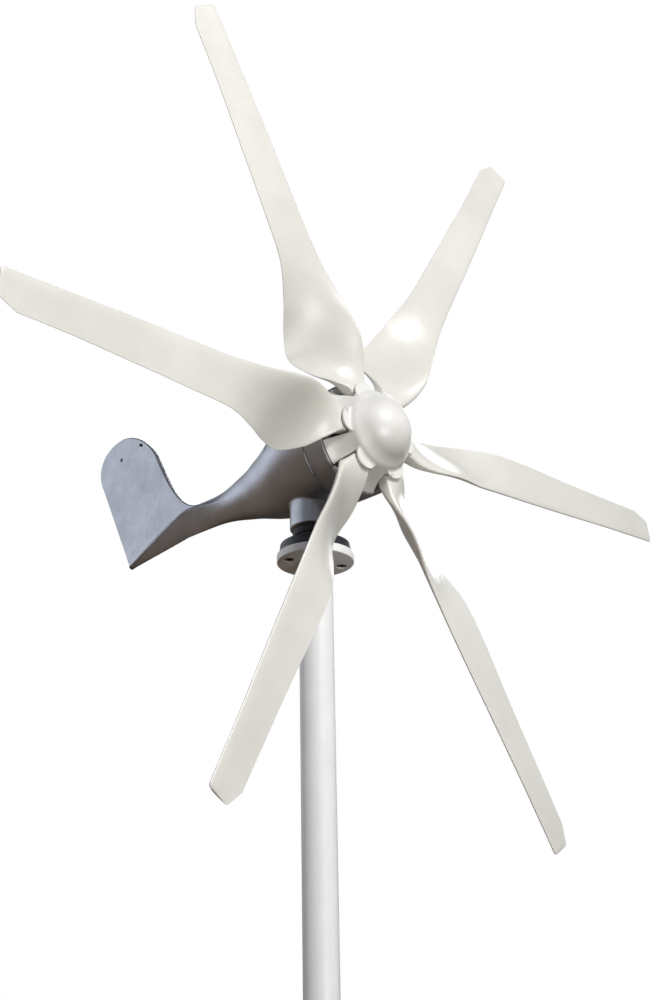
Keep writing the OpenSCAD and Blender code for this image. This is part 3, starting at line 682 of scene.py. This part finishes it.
low_tube, high_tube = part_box("mast_tube")
TUBE_R = (high_tube.x - low_tube.x) / 2 / MM
levels = np.linspace(low_tube.z / MM, high_tube.z / MM, 24)
outside = [(TUBE_R, z) for z in levels[1:-1]]
inside_wall = [(TUBE_R - 3, z) for z in levels[-2:0:-1]]
tube_profile = (rounded([(TUBE_R - 3, levels[0]), (TUBE_R, levels[0]), (TUBE_R, levels[-1]),
                         (TUBE_R - 3, levels[-1])], 0.9))
low_end, high_end = tube_profile[:10], tube_profile[10:]
points, faces = turned_shape(low_end + outside + high_end + inside_wall)
piece = add("mast_pole", points, faces, "mast", "mast_metal", ["mast_tube"])
piece.data.set_sharp_from_angle(angle=math.radians(50))

low_seal, high_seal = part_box("yaw_seal")
SEAL_R = (high_seal.x - low_seal.x) / 2 / MM
z0, z1 = low_seal.z / MM, high_seal.z / MM
points, faces = turned_shape(rounded([(16.5, z0), (SEAL_R, z0), (SEAL_R, z1), (16.5, z1)], 0.8))
piece = add("neck_seal", points, faces, "nacelle", "rubber_black", ["yaw_seal"])
piece.data.set_sharp_from_angle(angle=math.radians(50))


# ------------------------------------------------------------------ camera, light and floor
def look():
    """The camera, and its own right and backward directions with the point that it looks at."""
    azimuth, elevation, roll = map(math.radians, (-45.442, -23.438, -1.038))
    target = np.array([-0.0232, -0.05, 1.0168])
    back = np.array([math.sin(azimuth) * math.cos(elevation), -math.cos(azimuth) * math.cos(elevation),
                     math.sin(elevation)])
    right = np.array([math.cos(azimuth), math.sin(azimuth), 0])
    up = np.cross(back, right)
    tilted = math.cos(roll) * right + math.sin(roll) * up
    upward = -math.sin(roll) * right + math.cos(roll) * up
    data = bpy.data.cameras.new("view")
    data.lens, data.sensor_width, data.sensor_fit = 60.22, 36, "AUTO"
    data.clip_start, data.clip_end = 0.05, 60
    camera = bpy.data.objects.new("view", data)
    bpy.context.scene.collection.objects.link(camera)
    place = target + back * 2.1912
    camera.matrix_world = Matrix([*np.stack([tilted, upward, back, place], 1).tolist(), [0, 0, 0, 1]])
    bpy.context.scene.camera = camera
    return right, back, target


RIGHT, BACK, TARGET = look()


def lamp(name, spot, size, watts):
    """White area light aimed at the rotor."""
    data = bpy.data.lights.new(name, "AREA")
    data.size, data.energy = size, watts
    light = bpy.data.objects.new(name, data)
    bpy.context.scene.collection.objects.link(light)
    light.location = Vector(spot)
    light.rotation_mode = "QUATERNION"
    light.rotation_quaternion = (Vector(TARGET) - Vector(spot)).to_track_quat("-Z", "Y")


lamp("key", TARGET + np.array([-0.39, -2.38, 1.55]), 0.4, 59)
lamp("fill", TARGET + RIGHT * 1.3 + np.array([0, 0, -0.2]) + BACK * 2.4, 1.2, 80)
lamp("rear", TARGET + np.array([2.4, 1.6, 2.0]), 1.6, 55)

# the camera sees a white backdrop; the object is lit by a bright band above the horizon, strongest behind it
# and to its left, by a dim ceiling and by a dim warm lower half
world = bpy.data.worlds.new("studio")
bpy.context.scene.world = world
world.use_nodes = True
wn, wl = world.node_tree.nodes, world.node_tree.links.new
sky = wn["Background"]
height = wn.new("ShaderNodeSeparateXYZ")
whence = wn.new("ShaderNodeTexCoord").outputs["Generated"]
wl(whence, height.inputs[0])
band = wn.new("ShaderNodeValToRGB")
for position, colour in zip((0.0, 0.56, 0.65, 0.78, 0.88, 1.0), (
        (0.14, 0.105, 0.08), (0.2, 0.155, 0.12), (0.92, 0.98, 1.09), (0.92, 0.98, 1.09), (0.15, 0.17, 0.22),
        (0.2, 0.22, 0.27))):
    stop = band.color_ramp.elements[0] if position == 0 else (
        band.color_ramp.elements[-1] if position == 1 else band.color_ramp.elements.new(position))
    stop.color = (*colour, 1)
middle = wn.new("ShaderNodeMapRange")
middle.inputs["From Min"].default_value = -1
wl(height.outputs["Z"], middle.inputs["Value"])
wl(middle.outputs["Result"], band.inputs["Fac"])
behind = wn.new("ShaderNodeMapRange")
behind.inputs["From Min"].default_value, behind.inputs["From Max"].default_value = 0.55, 0.86
behind.inputs["To Min"].default_value, behind.inputs["To Max"].default_value = 0.45, 1.7
side = wn.new("ShaderNodeVectorMath")
side.operation = "DOT_PRODUCT"
side.inputs[1].default_value = (-0.45, 0.89, 0)
wl(whence, side.inputs[0])
wl(side.outputs["Value"], behind.inputs["Value"])
lit = wn.new("ShaderNodeVectorMath")
lit.operation = "SCALE"
wl(band.outputs["Color"], lit.inputs[0])
wl(behind.outputs["Result"], lit.inputs["Scale"])
wl(lit.outputs["Vector"], sky.inputs["Color"])
sky.inputs["Strength"].default_value = 0.8
seen = wn.new("ShaderNodeBackground")
seen.inputs["Color"].default_value = (1, 1, 1, 1)
seen.inputs["Strength"].default_value = 1.0
pick = wn.new("ShaderNodeMixShader")
wl(wn.new("ShaderNodeLightPath").outputs["Is Camera Ray"], pick.inputs[0])
wl(sky.outputs[0], pick.inputs[1])
wl(seen.outputs[0], pick.inputs[2])
wl(pick.outputs[0], wn["World Output"].inputs["Surface"])
bpy.context.scene.view_settings.view_transform = "Standard"

floor_mesh = bpy.data.meshes.new("floor")
floor_mesh.from_pydata([(-6, -6, 0), (6, -6, 0), (6, 6, 0), (-6, 6, 0)], [], [(0, 1, 2, 3)])
floor = bpy.data.objects.new("floor", floor_mesh)
bpy.context.scene.collection.objects.link(floor)
floor_mesh.materials.append(material("floor_paint", (0.8, 0.8, 0.79), 0.8, mottle=0.01, mottle_size=0.5))
floor.visible_diffuse = floor.visible_glossy = False
